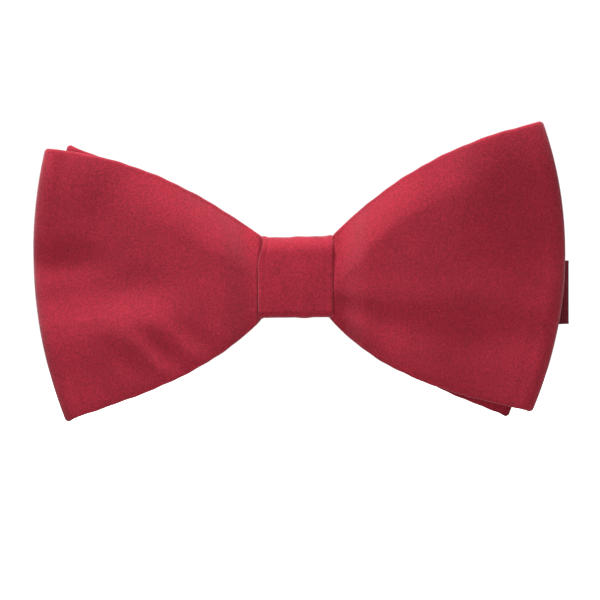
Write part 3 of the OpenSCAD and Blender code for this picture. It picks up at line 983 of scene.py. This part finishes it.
eye_path = np.concatenate([
    straight((left_3 + SHORT_SHARE, left_run_4), (eye_bar_x, left_run_4)),
    bend(eye_bar_x, left_run_4, eye_tail_y, 1), smoothed(eye_tail)])
mid_strip("strap_left_4_ribbon", "strap_left_4", eye_path, flat_left, "strap_left_run_4",
          "strap_eye_turn", "strap_eye_tail")


def tack_stitches(name, x, y, z, body, node):
    """A zigzag tack of stitches across the ribbon."""
    count, half, rise, radius = 26, 1.1, 0.14, 0.13
    span = WIDTH - 3
    parts = []
    for i in range(count):
        z0 = z + mix(-span / 2, span / 2, i / count)
        z1 = z0 + span / count
        start, end = (x - half, x + half) if i % 2 == 0 else (x + half, x - half)
        parts.append(stitch((start, y, z0), (end, y, z1), (0, rise, 0), radius))
    thread_piece(joined(name, parts, thread), body, node)


def tack_place(node):
    """The middle of a tack, just above the ribbon."""
    low, high = box_mm(node)
    return (low[0] + high[0]) / 2, low[1] + 0.05, (low[2] + high[2]) / 2


tack_stitches("slider_tack_stitches", *tack_place("slider_tack"), "slider_carriage", "slider_tack")
tack_stitches("eye_tack_stitches", *tack_place("eye_tack"), "strap_left_4", "eye_tack")


# ---------------------------------------------------------------- hardware

def polished(node, body):
    """A copy of a metal part with its stamped edges broken."""
    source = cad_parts[node]
    piece = bpy.data.objects.new(f"{node}_polished", source.data.copy())
    bpy.context.collection.objects.link(piece)
    mesh = bmesh.new()
    mesh.from_mesh(piece.data)
    bmesh.ops.remove_doubles(mesh, verts=mesh.verts, dist=1e-6)
    bmesh.ops.dissolve_limit(mesh, angle_limit=math.radians(1), verts=mesh.verts, edges=mesh.edges)
    mesh.to_mesh(piece.data)
    mesh.free()
    piece.data.materials.clear()
    piece.data.materials.append(nickel)
    rounding = piece.modifiers.new("broken edges", "BEVEL")
    rounding.width = 0.14 * MM
    rounding.segments = 3
    rounding.limit_method = "ANGLE"
    rounding.angle_limit = math.radians(40)
    apply_modifiers(piece)
    piece.data.polygons.foreach_set("use_smooth", [True] * len(piece.data.polygons))
    piece.modifiers.new("flat faces", "WEIGHTED_NORMAL")
    apply_modifiers(piece)
    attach(piece, body)
    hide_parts(node)


polished("slider", "slider_carriage")
polished("hook", "hook_piece")
polished("eye", "eye_piece")


# ---------------------------------------------------------------- stage and light

scene = bpy.context.scene
scene.view_settings.view_transform = "Standard"


def two_faced(tree, seen, bounced):
    """A shader output that the camera sees as one shader and everything else as another."""
    rays = tree.nodes.new("ShaderNodeLightPath")
    chooser = tree.nodes.new("ShaderNodeMixShader")
    tree.links.new(rays.outputs["Is Camera Ray"], chooser.inputs[0])
    tree.links.new(bounced, chooser.inputs[1])
    tree.links.new(seen, chooser.inputs[2])
    return chooser.outputs[0]


def plain_shader(tree, kind, colour, strength=None):
    made = tree.nodes.new(kind)
    made.inputs["Color"].default_value = (*colour, 1)
    if strength is not None:
        made.inputs["Strength"].default_value = strength
    return made.outputs[0]


# A white floor that keeps its soft shadows and throws little light back up
floor_material = bpy.data.materials.new("floor")
floor_material.use_nodes = True
tree = floor_material.node_tree
tree.nodes.clear()
glow = plain_shader(tree, "ShaderNodeEmission", (1, 1, 1), 0.9)
paper = plain_shader(tree, "ShaderNodeBsdfDiffuse", (0.9, 0.9, 0.9))
lit_paper = tree.nodes.new("ShaderNodeAddShader")
tree.links.new(glow, lit_paper.inputs[0])
tree.links.new(paper, lit_paper.inputs[1])
dim_paper = plain_shader(tree, "ShaderNodeBsdfDiffuse", (0.45, 0.45, 0.45))
output = tree.nodes.new("ShaderNodeOutputMaterial")
tree.links.new(two_faced(tree, lit_paper.outputs[0], dim_paper), output.inputs["Surface"])

bpy.ops.mesh.primitive_plane_add(size=40, location=(0, 0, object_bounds()[0][2]))
floor = bpy.context.object
floor.name = "floor"
floor.data.materials.append(floor_material)

world = bpy.data.worlds.new("studio")
world.use_nodes = True
tree = world.node_tree
tree.nodes.clear()
backdrop = plain_shader(tree, "ShaderNodeBackground", (1, 1, 1), 1.05)
ambient = plain_shader(tree, "ShaderNodeBackground", (1, 1, 1), 0.16)
output = tree.nodes.new("ShaderNodeOutputWorld")
tree.links.new(two_faced(tree, backdrop, ambient), output.inputs["Surface"])
scene.world = world


def area_light(name, place, aim, size, power):
    light = bpy.data.lights.new(name, "AREA")
    light.size = size
    light.energy = power
    obj = bpy.data.objects.new(name, light)
    obj.location = place
    obj.rotation_euler = (Vector(aim) - Vector(place)).to_track_quat("-Z", "Y").to_euler()
    bpy.context.collection.objects.link(obj)


area_light("top_softbox", (-0.13, -0.18, 0.66), (0, 0, 0), 0.22, 8.3)
area_light("front_fill", (0.1, -1.3, 0.1), (0, 0, 0), 0.6, 2.9)
area_light("rear_fill", (0.3, 1.1, 0.5), (0, 0, 0), 0.6, 5.0)
